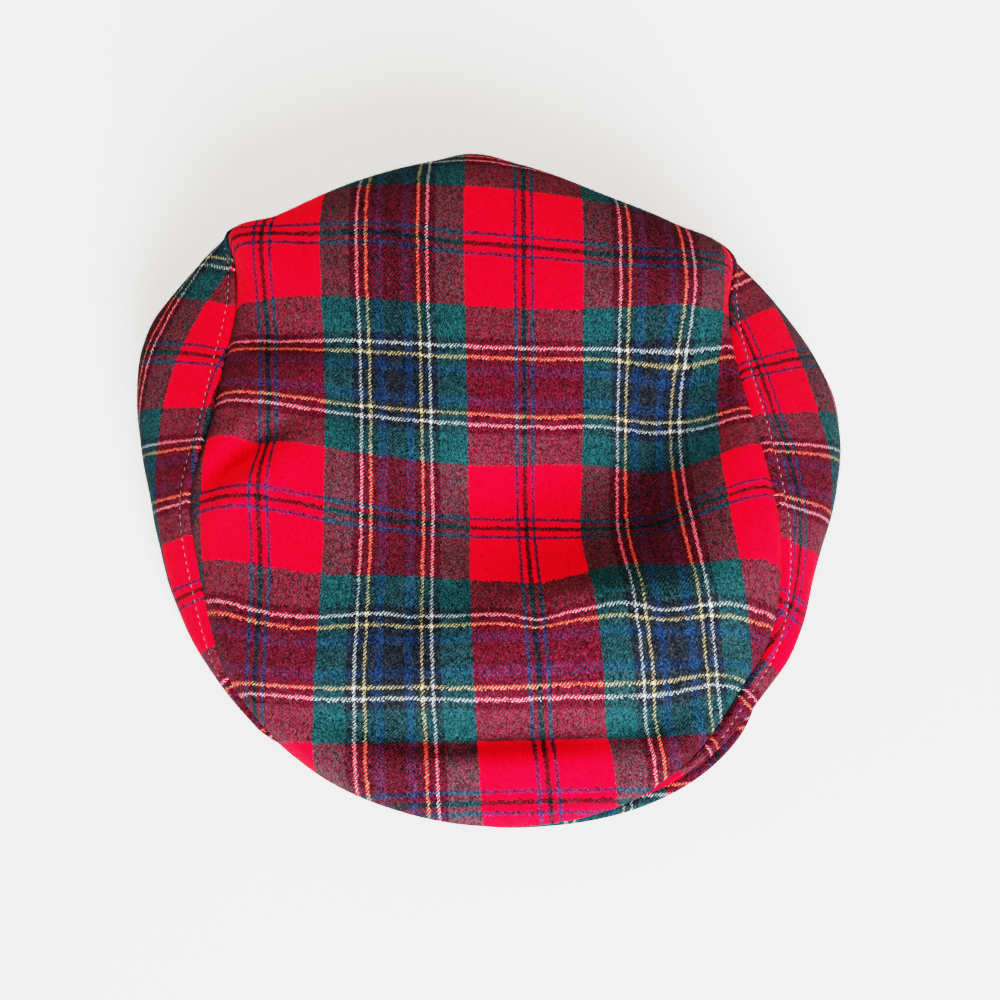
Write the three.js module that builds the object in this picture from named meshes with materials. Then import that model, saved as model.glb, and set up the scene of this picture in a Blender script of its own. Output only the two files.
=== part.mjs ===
// A flat cap of woollen tartan twill, lying on its hem as it would on a table.
// Millimetres, +Z up. The peak points to -Y, the back is +Y, and +X is the wearer's left.
// The cap is worked out section by section: at each angle round the crown one profile runs from the
// middle of the crown out to the seam, over the widest fold and under to the hem.
import * as THREE from "three";

const WALL = 2.0; // woollen cloth with its backing
const HEM_WALL = 3.2; // the cloth turned in on itself at the hem
const SEAM_GAP = 0.4; // between two sewn pieces

// The sections turn about an upright axis that stands here. The origin is under the middle of the box.
const SECTION_AXIS = { x: -0.85, y: -3 };

const OPENING = { halfWidth: 89, halfLength: 96, middleY: 19 }; // oval of the head opening

const PEAK = {
  thickness: 4,
  middleX: 7, // the crown sits a little to the wearer's right of the peak
  middleY: -40,
  halfWidth: 96.5,
  reach: 78.3, // from middleY to the front edge
  cornerLeft: 2.3, // exponents of the front edge, squarer on the left where the peak shows
  cornerRight: 1.95,
  riseFront: 8, // height of the arch under the front edge and, further back, under the hem
  riseSlope: 0.066,
  armTaper: 58, // the arms grow narrower from this angle round from the front
  armAngle: 108, // end here
  armPoint: 112, // and would come to a point here
  armRound: 0.7,
};
const ARM_DROP = { from: -45, to: -12 }; // Y range in which the arch runs out into the arms
const HEM_CLIMB = { from: -14, to: 10 }; // Y range in which the hem climbs onto the peak

// Sections round the crown. Angle in degrees, 0 at the wearer's left, 90 at the back, 270 at the front.
// The seam joins top and side panels, the fold is the widest line of the side panel, and shoulder says
// how squarely the top panel turns down to the seam: 0 is a slope, 1 a full round.
const SECTION_COLUMNS = ["angle", "seamR", "seamZ", "foldR", "foldZ", "shoulder"];
const SECTIONS = [
  [0, 98, 55, 127.5, 29, 0.15],
  [13, 96, 57, 132.5, 31, 0.15],
  [25, 99.5, 56, 129, 35, 0.2],
  [34, 108, 54, 125.5, 42, 0.5],
  [41, 121.5, 54, 122.5, 46, 0.9],
  [52, 117.5, 53, 118.5, 43, 1],
  [66, 115.5, 53, 116.5, 42, 1],
  [82, 120.5, 53, 121.5, 42, 1],
  [90, 124.5, 53, 125.5, 42, 1],
  [98, 123, 53, 124, 42, 1],
  [115, 123.6, 53, 124.8, 42, 1],
  [126, 126, 53.5, 127, 44, 0.95],
  [133.5, 132.5, 54, 134, 46, 0.9],
  [137, 121.5, 54, 135.5, 44, 0.6],
  [143, 111.5, 53, 138.5, 39, 0.3],
  [152, 105.5, 51, 140.8, 34, 0.2],
  [165, 102.5, 48, 132.7, 29, 0.15],
  [180, 107.2, 42, 122.8, 26, 0.15],
  [197, 109, 33, 120, 21, 0.2],
  [213, 115, 22, 118.3, 14, 0.5],
  [235, 116.2, 15, 116.6, 10.8, 0.8],
  [252, 115.6, 17, 116, 12.9, 0.8],
  [270, 117.2, 18.3, 117.6, 13.9, 0.8],
  [300, 120.3, 18, 122, 13.5, 0.7],
  [319, 114.8, 21, 122, 15, 0.5],
  [330, 114, 27, 122.8, 18.5, 0.4],
  [345, 105.8, 46, 121.3, 25, 0.2],
].map(namedRow(SECTION_COLUMNS));

// Height of the crown along its middle, from the front edge to the back.
const RIDGE_COLUMNS = ["y", "z"];
const RIDGE = [
  [-120, 25],
  [-90, 34],
  [-50, 48],
  [0, 62],
  [50, 70],
  [95, 73],
  [122, 71],
].map(namedRow(RIDGE_COLUMNS));

// Dents (depth below zero) and ridges pressed into the top panel, each a long soft mound.
const FOLD_COLUMNS = ["x", "y", "heading", "halfLength", "halfWidth", "depth"];
const FOLDS = [
  [-90, 10, 25, 17, 6.5, -7],
  [-84, -3, 25, 20, 8, 2.5],
  [-70, 52, -14, 26, 7, -4],
  [-70, 39, -15, 24, 8, 2.5],
  [61, 14, 50, 40, 27, -27],
  [82, -44, 32, 27, 18, 9],
  [32, -21, 12, 24, 11, -5],
  [28, -46, 5, 32, 10, 5],
  [16, -3, 12, 42, 20, -16],
  [6, -66, 2, 54, 24, 15],
  [14, -50, 85, 14, 6, -3],
  [-30, -50, 70, 14, 6, -2],
  [6, -87, 0, 52, 8, -13],
  [-54, -80, -13, 24, 7, -8],
  [62, -83, 12, 18, 7, -7],
  [5, -98, 0, 55, 8, 3],
  [74, 58, 50, 18, 10, 4],
].map(namedRow(FOLD_COLUMNS));
const FOLD_FADE = 8; // power that takes the folds out towards the seam

// The top panel falls from the ridge to the seam as (1 - share^power)^(1/root).
const SLOPE = { power: 3, root: 1.1 }; // at shoulder 0
const ROUND = { power: 6, root: 2 }; // at shoulder 1

// Handles of the side panel's two curves, as shares of the width to the fold and of the drop to the hem.
const SIDE = { bulge: 12, seamHandle: 0.4, foldHandle: 0.5, hemRise: 0.45, hemLean: 0.15 };

const STEPS_ROUND = 96;
const STEPS_CROWN = 15;
const EVEN_SHARE = 0.3; // part of the crown's steps that is even, the rest closes up towards the seam
const STEPS_OVER = 5; // seam to fold
const STEPS_UNDER = 7; // fold to hem
const STEPS_PEAK = { across: 5, along: 36 };

const CLOTH_RED = 0xb3122c;
const CLOTH_TEAL = 0x1f5a5e;

function namedRow(columns) {
  return (row) => Object.fromEntries(columns.map((column, i) => [column, row[i]]));
}

// A smooth curve through one column of a table, as a function of another column.
function curveThrough(rows, place, column, period = 0) {
  const turns = period ? [-period, 0, period] : [0];
  const knots = turns.flatMap((turn) => rows.map((row) => ({ at: row[place] + turn, value: row[column] })));
  const last = knots.length - 1;
  const slopes = knots.map((_, i) => {
    const before = knots[Math.max(i - 1, 0)];
    const after = knots[Math.min(i + 1, last)];
    return (after.value - before.value) / (after.at - before.at);
  });
  return (at) => {
    const found = knots.findIndex((knot) => knot.at > at);
    const i = found < 0 ? last - 1 : Math.max(found - 1, 0);
    const span = knots[i + 1].at - knots[i].at;
    const t = THREE.MathUtils.clamp((at - knots[i].at) / span, 0, 1);
    const [s, tt, ttt] = [1 - t, t * t, t * t * t];
    const start = knots[i].value * (1 - 3 * tt + 2 * ttt) + slopes[i] * span * t * s * s;
    return start + knots[i + 1].value * (3 * tt - 2 * ttt) - slopes[i + 1] * span * tt * s;
  };
}

const sectionCurves = SECTION_COLUMNS.slice(1).map((column) => [
  column,
  curveThrough(SECTIONS, "angle", column, 360),
]);
const ridgeHeight = curveThrough(RIDGE, "y", "z");

function sectionAt(angle) {
  const turned = THREE.MathUtils.euclideanModulo(angle, 360);
  return Object.fromEntries(sectionCurves.map(([column, curve]) => [column, curve(turned)]));
}

// Distance from a point inside the head opening to its oval, along a direction in plan.
function openingReach(fromX, fromY, dirX, dirY) {
  const px = fromX / OPENING.halfWidth;
  const py = (fromY - OPENING.middleY) / OPENING.halfLength;
  const dx = dirX / OPENING.halfWidth;
  const dy = dirY / OPENING.halfLength;
  const a = dx * dx + dy * dy;
  const b = px * dx + py * dy;
  const c = px * px + py * py - 1;
  return (Math.sqrt(b * b - a * c) - b) / a;
}

// Upper face of the arched peak at a place in plan.
function peakTop(x, y) {
  const arch = Math.max(0, 1 - ((x - PEAK.middleX) / PEAK.halfWidth) ** 2);
  const rise = PEAK.riseFront + PEAK.riseSlope * (y - PEAK.middleY + PEAK.reach);
  const runOut = 1 - THREE.MathUtils.smoothstep(y, ARM_DROP.from, ARM_DROP.to);
  return PEAK.thickness + arch * rise * runOut;
}

// Lowest place for cloth that lies on the peak at the front and on the table further back.
function restingHeight(x, y) {
  const onPeak = 1 - THREE.MathUtils.smoothstep(y, HEM_CLIMB.from, HEM_CLIMB.to);
  return (peakTop(x, y) + SEAM_GAP) * onPeak;
}

function foldHeight(x, y) {
  return FOLDS.reduce((sum, fold) => {
    const heading = THREE.MathUtils.degToRad(fold.heading);
    const [dx, dy] = [x - fold.x, y - fold.y];
    const along = (dx * Math.cos(heading) + dy * Math.sin(heading)) / fold.halfLength;
    const across = (dy * Math.cos(heading) - dx * Math.sin(heading)) / fold.halfWidth;
    return sum + fold.depth * Math.exp(-along * along - across * across);
  }, 0);
}

// Outer profile of the top panel at one angle: radius and height from the middle to the seam.
function crownProfile(angle) {
  const section = sectionAt(angle);
  const direction = THREE.MathUtils.degToRad(angle);
  const power = THREE.MathUtils.lerp(SLOPE.power, ROUND.power, section.shoulder);
  const root = THREE.MathUtils.lerp(SLOPE.root, ROUND.root, section.shoulder);
  return Array.from({ length: STEPS_CROWN + 1 }, (_, i) => {
    const t = i / STEPS_CROWN;
    const share = EVEN_SHARE * t + (1 - EVEN_SHARE) * Math.sin((t * Math.PI) / 2);
    const radius = share * section.seamR;
    const [x, y] = [radius * Math.cos(direction), radius * Math.sin(direction)];
    const lift = (1 - share ** power) ** (1 / root);
    const pressed = foldHeight(x, y) * (1 - share ** FOLD_FADE);
    return new THREE.Vector2(radius, section.seamZ + (ridgeHeight(y) - section.seamZ) * lift + pressed);
  });
}

// Outer profile of a side panel at one angle: from the seam over the fold and under to the hem.
function sideProfile(angle) {
  const section = sectionAt(angle);
  const direction = THREE.MathUtils.degToRad(angle);
  const [cos, sin] = [Math.cos(direction), Math.sin(direction)];
  const seam = new THREE.Vector2(section.seamR, section.seamZ);
  const fold = new THREE.Vector2(section.foldR, section.foldZ);
  const hemR = openingReach(0, 0, cos, sin);
  const hem = new THREE.Vector2(hemR, restingHeight(hemR * cos, hemR * sin));
  const fall = Math.atan2(seam.y - fold.y, fold.x - seam.x) - THREE.MathUtils.degToRad(SIDE.bulge);
  const handle = SIDE.seamHandle * seam.distanceTo(fold);
  const drop = fold.y - hem.y;
  const over = new THREE.CubicBezierCurve(
    seam,
    new THREE.Vector2(seam.x + handle * Math.cos(fall), seam.y - handle * Math.sin(fall)),
    new THREE.Vector2(fold.x, fold.y + SIDE.foldHandle * (seam.y - fold.y)),
    fold,
  );
  const under = new THREE.CubicBezierCurve(
    fold,
    new THREE.Vector2(fold.x, fold.y - SIDE.foldHandle * drop),
    new THREE.Vector2(hem.x + SIDE.hemLean * drop, hem.y + SIDE.hemRise * drop),
    hem,
  );
  const points = [...over.getPoints(STEPS_OVER), ...under.getPoints(STEPS_UNDER).slice(1)];
  points.forEach((point) => {
    point.y = Math.max(point.y, restingHeight(point.x * cos, point.x * sin));
  });
  return points;
}

// Each point of a profile with its partner set in by the wall, and the direction along the profile.
function setIn(profile, wall) {
  return profile.map((point, i) => {
    const before = profile[Math.max(i - 1, 0)];
    const after = profile[Math.min(i + 1, profile.length - 1)];
    const run = after.clone().sub(before).normalize();
    const inner = new THREE.Vector2(point.x + run.y * wall, point.y - run.x * wall);
    return { outer: point, inner, run };
  });
}

// Whole wall at one angle. At the seam both panels share one edge direction and keep half the gap each.
function wallSection(angle) {
  const crown = crownProfile(angle);
  const side = sideProfile(angle);
  const last = crown.length + side.length - 2;
  const wall = setIn([...crown, ...side.slice(1)], WALL);
  wall[0].inner.set(0, crown[0].y - WALL);
  wall[last].inner.set(side.at(-1).x - HEM_WALL, side.at(-1).y);
  const seam = wall[STEPS_CROWN];
  const step = seam.run.clone().multiplyScalar(SEAM_GAP / 2);
  const shifted = (sign) => ({
    outer: seam.outer.clone().addScaledVector(step, sign),
    inner: seam.inner.clone().addScaledVector(step, sign),
  });
  return {
    crown: [...wall.slice(0, STEPS_CROWN), shifted(-1)],
    side: [shifted(1), ...wall.slice(STEPS_CROWN + 1)],
  };
}

function turned(point, angle) {
  const direction = THREE.MathUtils.degToRad(angle);
  return [point.x * Math.cos(direction), point.x * Math.sin(direction), point.y];
}

function closedGeometry(points, triangles) {
  const geometry = new THREE.BufferGeometry();
  geometry.setAttribute("position", new THREE.Float32BufferAttribute(points.flat(), 3));
  geometry.setIndex(triangles.flat());
  return geometry;
}

function quad(a, b, c, d) {
  return [
    [a, b, c],
    [a, c, d],
  ];
}

// The crown piece: rings of outer points, rings of inner points, a middle point each, and a rim.
function topPanelGeometry() {
  const rings = Array.from({ length: STEPS_ROUND }, (_, j) => {
    const angle = (j / STEPS_ROUND) * 360;
    return { angle, wall: wallSection(angle).crown };
  });
  const points = [turned(rings[0].wall[0].outer, 0), turned(rings[0].wall[0].inner, 0)];
  rings.forEach(({ angle, wall }) => {
    wall.slice(1).forEach((pair) => points.push(turned(pair.outer, angle), turned(pair.inner, angle)));
  });
  const at = (j, i, side) => (i === 0 ? side : 2 + 2 * ((j % STEPS_ROUND) * STEPS_CROWN + i - 1) + side);
  const triangles = [];
  for (let j = 0; j < STEPS_ROUND; j += 1) {
    triangles.push([0, at(j, 1, 0), at(j + 1, 1, 0)], [1, at(j + 1, 1, 1), at(j, 1, 1)]);
    for (let i = 1; i < STEPS_CROWN; i += 1) {
      triangles.push(...quad(at(j, i, 0), at(j, i + 1, 0), at(j + 1, i + 1, 0), at(j + 1, i, 0)));
      triangles.push(...quad(at(j, i, 1), at(j + 1, i, 1), at(j + 1, i + 1, 1), at(j, i + 1, 1)));
    }
    const rim = STEPS_CROWN;
    triangles.push(...quad(at(j, rim, 0), at(j, rim, 1), at(j + 1, rim, 1), at(j + 1, rim, 0)));
  }
  return closedGeometry(points, triangles);
}

// A wall over a grid of outer and inner points, closed along its four edges.
// rows run along the piece, and each row lists pairs of outer and inner points across it.
function gridWall(rows) {
  const across = rows[0].length;
  const points = rows.flatMap((row) => row.flatMap((pair) => [pair.outer, pair.inner]));
  const at = (j, i, side) => 2 * (j * across + i) + side;
  const triangles = [];
  for (let j = 0; j < rows.length - 1; j += 1) {
    for (let i = 0; i < across - 1; i += 1) {
      triangles.push(...quad(at(j, i, 0), at(j, i + 1, 0), at(j + 1, i + 1, 0), at(j + 1, i, 0)));
      triangles.push(...quad(at(j, i, 1), at(j + 1, i, 1), at(j + 1, i + 1, 1), at(j, i + 1, 1)));
    }
    const end = across - 1;
    triangles.push(...quad(at(j, 0, 0), at(j + 1, 0, 0), at(j + 1, 0, 1), at(j, 0, 1)));
    triangles.push(...quad(at(j, end, 0), at(j, end, 1), at(j + 1, end, 1), at(j + 1, end, 0)));
  }
  const far = rows.length - 1;
  for (let i = 0; i < across - 1; i += 1) {
    triangles.push(...quad(at(0, i, 0), at(0, i, 1), at(0, i + 1, 1), at(0, i + 1, 0)));
    triangles.push(...quad(at(far, i, 0), at(far, i + 1, 0), at(far, i + 1, 1), at(far, i, 1)));
  }
  return closedGeometry(points, triangles);
}

// A side piece between two angles, held back by half the gap at the back and front seams.
function sidePanelGeometry(fromAngle, toAngle) {
  const steps = STEPS_ROUND / 2;
  const rows = Array.from({ length: steps + 1 }, (_, j) => {
    const angle = fromAngle + (j / steps) * (toAngle - fromAngle);
    const middle = THREE.MathUtils.degToRad((fromAngle + toAngle) / 2);
    const held = j === 0 || j === steps ? SEAM_GAP / 2 : 0;
    const shift = [held * Math.cos(middle), held * Math.sin(middle)];
    const place = (point) => {
      const [x, y, z] = turned(point, angle);
      return [x + shift[0], y + shift[1], z];
    };
    return wallSection(angle).side.map((pair) => ({ outer: place(pair.outer), inner: place(pair.inner) }));
  });
  return gridWall(rows);
}

// The peak: rays from its middle, from the hem of the opening out to its front edge.
function peakGeometry() {
  const { along, across } = STEPS_PEAK;
  const rows = Array.from({ length: along + 1 }, (_, j) => {
    const angle = PEAK.armAngle * ((2 * j) / along - 1);
    const direction = THREE.MathUtils.degToRad(angle);
    const [dirX, dirY] = [Math.sin(direction), -Math.cos(direction)];
    const corner = angle < 0 ? PEAK.cornerRight : PEAK.cornerLeft;
    const sum = Math.abs(dirX / PEAK.halfWidth) ** corner + Math.abs(dirY / PEAK.reach) ** corner;
    const edge = sum ** (-1 / corner);
    const hem = openingReach(PEAK.middleX, PEAK.middleY, dirX, dirY) - HEM_WALL;
    const past = Math.max(0, Math.abs(angle) - PEAK.armTaper) / (PEAK.armPoint - PEAK.armTaper);
    const taper = Math.cos(past * (Math.PI / 2)) ** PEAK.armRound;
    return Array.from({ length: across + 1 }, (_, i) => {
      const reach = hem + (i / across) * (edge - hem) * taper;
      const [x, y] = [PEAK.middleX + reach * dirX, PEAK.middleY + reach * dirY];
      const top = peakTop(x, y);
      return { outer: [x, y, top], inner: [x, y, top - PEAK.thickness] };
    });
  });
  return gridWall(rows);
}

function clothMaterial(color) {
  return new THREE.MeshStandardMaterial({ color, roughness: 0.95, metalness: 0 });
}

function piece(name, geometry, color) {
  geometry.computeVertexNormals();
  const mesh = new THREE.Mesh(geometry, clothMaterial(color));
  mesh.name = name;
  return mesh;
}

const cap = new THREE.Group();
cap.name = "flat_cap";
cap.position.set(SECTION_AXIS.x, SECTION_AXIS.y, 0);
cap.add(
  piece("top_panel", topPanelGeometry(), CLOTH_RED),
  piece("side_panel_left", sidePanelGeometry(-90, 90), CLOTH_TEAL),
  piece("side_panel_right", sidePanelGeometry(90, 270), CLOTH_TEAL),
  piece("peak", peakGeometry(), CLOTH_RED),
);

export default cap;
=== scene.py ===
import math

import bpy
import numpy as np
from mathutils import Matrix


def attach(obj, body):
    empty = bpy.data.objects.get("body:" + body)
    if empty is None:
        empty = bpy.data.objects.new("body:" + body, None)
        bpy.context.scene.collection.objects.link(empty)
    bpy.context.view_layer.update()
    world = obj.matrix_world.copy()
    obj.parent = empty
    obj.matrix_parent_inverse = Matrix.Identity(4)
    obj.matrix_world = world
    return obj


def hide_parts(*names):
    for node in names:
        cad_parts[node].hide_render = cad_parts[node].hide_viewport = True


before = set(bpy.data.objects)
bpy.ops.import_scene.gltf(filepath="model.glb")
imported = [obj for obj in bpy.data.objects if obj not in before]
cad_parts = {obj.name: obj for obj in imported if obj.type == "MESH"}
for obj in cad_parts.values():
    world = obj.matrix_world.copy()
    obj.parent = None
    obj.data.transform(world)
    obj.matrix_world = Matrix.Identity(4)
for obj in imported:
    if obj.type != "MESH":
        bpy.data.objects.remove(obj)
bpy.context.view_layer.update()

METRES = 0.001
SECTION_AXIS = np.array([-0.85, -3.0, 0.0])
TINY = 1e-9


def by_column(names, rows):
    """A table as one array for each named column."""
    return dict(zip(names, np.array(rows, float).T))


# Thickness of the cloth, and of its turned hem, and the gap between two sewn pieces.
WALL = 2.0
HEM_WALL = 3.2
SEAM_GAP = 0.4

# Sections round the cap. The angle is in degrees: 0 at the wearer's left, 90 at the back, 270 at the
# front. The seam joins crown and side panel, the fold is the side panel's widest line, and the shoulder
# says how squarely the crown turns down to the seam, from 0 for a slope to 1 for a full round.
SECTIONS = by_column(("angle", "seam_r", "seam_z", "fold_r", "fold_z", "shoulder"), [
    (0, 98, 55, 127.5, 29, 0.15),
    (13, 96, 57, 132.5, 31, 0.15),
    (25, 99.5, 56, 129, 35, 0.2),
    (34, 108, 54, 125.5, 42, 0.5),
    (41, 121.5, 54, 122.5, 46, 0.9),
    (52, 117.5, 53, 118.5, 43, 1),
    (66, 115.5, 53, 116.5, 42, 1),
    (82, 120.5, 53, 121.5, 42, 1),
    (90, 124.5, 53, 125.5, 42, 1),
    (98, 123, 53, 124, 42, 1),
    (115, 123.6, 53, 124.8, 42, 1),
    (126, 126, 53.5, 127, 44, 0.95),
    (133.5, 132.5, 54, 134, 46, 0.9),
    (137, 121.5, 54, 135.5, 44, 0.6),
    (143, 111.5, 53, 138.5, 39, 0.3),
    (152, 105.5, 51, 140.8, 34, 0.2),
    (165, 102.5, 48, 132.7, 29, 0.15),
    (180, 107.2, 42, 122.8, 26, 0.15),
    (197, 109, 33, 120, 21, 0.2),
    (213, 115, 22, 118.3, 14, 0.5),
    (235, 116.8, 12.8, 117, 10.8, 0.8),
    (252, 116.9, 14.8, 117.1, 12.9, 0.8),
    (270, 118, 15.8, 118.2, 13.9, 0.8),
    (300, 120.3, 18, 122, 13.5, 0.7),
    (319, 114.8, 21, 122, 15, 0.5),
    (330, 114, 27, 122.8, 18.5, 0.4),
    (345, 105.8, 46, 121.3, 25, 0.2),
])

# Height of the crown along its middle, from the front edge to the back.
RIDGE = by_column(("y", "z"), [(-120, 25), (-90, 34), (-50, 48), (0, 62), (50, 70), (95, 73), (122, 71)])

# Dents (depth below zero) and ridges in the crown, each a long soft mound, with its heading in degrees.
FOLDS = by_column(("x", "y", "heading", "half_length", "half_width", "depth"), [
    (-90, 10, 27, 17, 5, -11),
    (-84, -2, 27, 20, 7, 4),
    (-70, 52, -14, 26, 7, -4),
    (-70, 39, -15, 24, 8, 2.5),
    (61, 14, 50, 40, 27, -27),
    (82, -44, 32, 27, 18, 9),
    (32, -21, 12, 24, 11, -5),
    (28, -46, 5, 32, 10, 5),
    (16, -3, 12, 42, 20, -16),
    (6, -66, 2, 54, 24, 15),
    (14, -50, 85, 14, 6, -3),
    (-30, -50, 70, 14, 6, -2),
    (6, -87, 0, 52, 8, -13),
    (-54, -80, -13, 24, 7, -8),
    (62, -83, 12, 18, 7, -7),
    (5, -98, 0, 55, 8, 3),
    (74, 58, 50, 18, 10, 4),
])
FOLD_FADE = 8  # power that takes the folds out towards the seam

# How the crown falls from the ridge to the seam, at a sloping and at a fully round shoulder.
SLOPE = {"power": 3.0, "root": 1.1}
ROUND = {"power": 6.0, "root": 2.0}

# Slight waves of soft cloth: their heights, and their lengths over 2 pi.
WAVE_HEIGHT = {"across": 0.30, "along": 0.28, "slanting": 0.25}
WAVE_LENGTH = {"across": 9.7, "along": 8.1, "rising": 5.2, "falling": 6.3, "bend_y": 13.0, "bend_x": 17.0}

# The oval of the head opening, the handles of the side panel's two curves, and the peak.
OPENING = {"half_width": 89.0, "half_length": 96.0, "middle_y": 19.0}
SIDE = {"bulge": 12.0, "seam_handle": 0.4, "fold_handle": 0.5, "hem_rise": 0.45, "hem_lean": 0.15}
PEAK = {
    "thickness": 4.0, "middle_x": 7.0, "middle_y": -40.0, "half_width": 96.5, "reach": 78.3,
    "corner_left": 2.3, "corner_right": 1.88, "rise_front": 8.0, "rise_slope": 0.066,
    "arm_taper": 58.0, "arm_angle": 108.0, "arm_point": 112.0, "arm_round": 0.7, "arm_thin": 0.75,
}
# Ranges of y in which the peak's arch runs out into its arms, and the hem climbs onto the peak.
ARM_DROP = (-45.0, -12.0)
HEM_CLIMB = (-14.0, 10.0)

# The crown's edge is tucked down at the seam, over a width. Where the side panel is hidden at the front,
# under a round shoulder and a low seam, it lies in from the crown's edge and below it.
TUCK = {"edge": 2.2, "width": 2.2, "in": 2.6, "down": 1.6}
TUCK_SHOULDER = (0.65, 0.78)
TUCK_SEAM_Z = (20.0, 30.0)

# The side panel's edge at the seam: a rolled lip that rises and then dives, a sewn groove behind it, and
# the length from seam to fold that it takes to show them in full. A cramped lip is lower.
LIP = {"high": 0.7, "middle": 1.7, "spread": 1.7, "dive": 0.8, "dive_spread": 0.6, "cramped": 0.5}
GROOVE = {"deep": 0.4, "spread": 0.7}
LIP_ROOM = (2.0, 9.0)
# The waves on the side panel: their share of the crown's, the height below which the cloth lies flat, and
# the length from the seam over which they begin.
SIDE_WAVES = {"share": 0.8, "least_z": 4.0}
SIDE_WAVES_FROM = (3.0, 12.0)
# The ends of the side panels are rolled in at the centre seams.
BACK_SEAM = {"sunk": 1.0, "round": 1.1}
# Places along a side panel's profile: the widest fold, the hem, and where the cloth turns in to the hem.
AT_FOLD = 1.0
AT_HEM = 2.0
HEM_TURN = (1.7, 2.0)

# Stitches along the seam: half thickness, flattening, arch over the cloth and dive of the ends, taper of
# the thread, and the length from seam to fold under which none shows.
STITCH = {
    "inset": 3.7, "pitch": 2.8, "length": 1.8, "thick": 0.14, "oval": 1.25, "arch": 0.22, "dive": 0.45,
    "taper": 0.9, "blunt": 0.08, "least_fold": 7.0,
}
STITCH_RINGS = 7
STITCH_SIDES = 6

# Loose fibres: length with its spread and limits, half width, the rise and reach of the bend and of the
# tip as shares of the length, the tip's swing, the width at the bend, the depth of the root, and the
# height under which the cloth bears none.
FIBRE = {
    "length": 1.15, "spread": 0.4, "shortest": 0.4, "longest": 2.4, "thinnest": 0.025, "thickest": 0.05,
    "bend_up": 0.32, "bend_over": 0.34, "tip_up": 0.38, "tip_over": 0.85, "swing": 0.25,
    "narrowed": 0.8, "rooted": 0.1, "least_z": 3.0,
}
# The fibres' own map for baking: how the cloth map is fitted into it, and the corners of one blade.
BAKE_FIT = {"scale": 0.35, "middle": 0.5, "room": 0.98}
BLADE_CORNERS = np.array([[0, 0], [1, 0], [1, 1], [0, 1], [0.5, 2]]) * 0.002

# How the points of a grid are spread: evenly, and closing up towards the seam and a panel's ends.
CROWN_SPREAD = {"even": 0.55, "closing": 0.45}
SIDE_SPREAD = {"even": 0.75, "closing": 0.25}
END_CLOSING = 0.9
PEAK_EDGE_POINTS = 11
SHARP_ANGLE = 60.0

# The tartan, from the middle of its red ground out to the middle of its dark ground, in threads. The
# cloth repeats by running back again.
THREADS = [
    ("soot", 3), ("red", 6), ("purple", 5.2), ("red", 57.8), ("green", 35.5), ("black", 8.3),
    ("white", 3.3), ("black", 7.8), ("yellow", 3.3), ("black", 7.8), ("blue", 10.5), ("black", 12),
]
HALF_REPEAT = sum(count for _, count in THREADS)
# The first stripes draw the lines in the red ground. In the warp they lie closer by this factor.
MIDDLE_STRIPES = 3
WARP_CLOSE = 0.87
# Half a repeat of warp and of weft, where the cloth isn't pulled.
WARP_HALF_MM = 44.5
WEFT_HALF_MM = 49.5
YARN = {
    "red": (0.86, 0.0008, 0.024), "green": (0.0115, 0.049, 0.053), "black": (0.013, 0.016, 0.021),
    "blue": (0.010, 0.026, 0.061), "white": (0.53, 0.55, 0.54), "yellow": (0.53, 0.41, 0.21),
    "purple": (0.035, 0.026, 0.066), "soot": (0.016, 0.012, 0.016),
}
# Yarns of unlike families dull each other where they cross. The family is a number, and the tint of a
# crossing goes by the difference: alike, light over red, light over dark, red over green, red over
# purple, red over soot and red over black. The fourth number says how plainly the crossing shows the
# twill, from a mingled nap at 0 to clear dots at 1.
FAMILY = {
    "red": 1.0, "white": 0.65, "yellow": 0.65, "green": 0.12, "black": 0.0, "blue": 0.0,
    "purple": 0.06, "soot": 0.045,
}
CROSSING_TINT = [
    (0.0, (1.0, 1.0, 1.0, 0.3)), (0.2, (0.74, 0.38, 0.46, 1.0)), (0.45, (0.54, 0.57, 0.6, 1.0)),
    (0.8, (0.2, 0.88, 0.8, 0.1)), (0.91, (0.22, 0.9, 0.95, 0.5)), (0.95, (0.2, 0.8, 0.7, 0.65)),
    (0.97, (0.145, 1.0, 0.75, 0.3)),
]
# The weave, in threads: how far the threads wander, how far the edges of warp and weft stripes fray, and
# how many tufts of nap go to a thread. The twill goes over two threads of four.
WEAVE = {"wander": 2.5, "warp_fray": 8.0, "weft_fray": 2.8, "tufts_across": 0.74, "tufts_along": 0.67}
TWILL = {"threads": 4.0, "warp_up": 1.5}
# How much chance and the twill decide which yarn shows, in a mingled nap and by the step to clear dots.
MINGLE = {
    "chance": 0.6, "chance_fall": 0.4, "twill": 0.2, "twill_gain": 0.8, "lift": 0.18, "lift_fall": 0.3,
}
# Unevenness of the yarns' colour, which red yarn shows less, pale lint, and the relief of the cloth.
SPECKLE = {"fibre": 1.3, "tuft": 1.2, "cloudy": 0.3, "red_calm": 0.8, "darkest": 0.2}
LINT = {"fibre": 0.8, "rare": 0.86, "share": 0.05, "colour": (0.38, 0.36, 0.36, 1.0)}
RELIEF = {"ridge": 0.15, "fibre": 0.8, "fuzz": 0.6, "tuft": 0.5}
# Scales of the noises, for each metre.
NOISE_SCALE = {
    "fuzz": 1500.0, "wander_warp": 120.0, "wander_weft": 140.0, "cloudy": 45.0, "fibre": 1900.0,
    "twist": 3000.0, "floor": 7.0,
}

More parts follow.
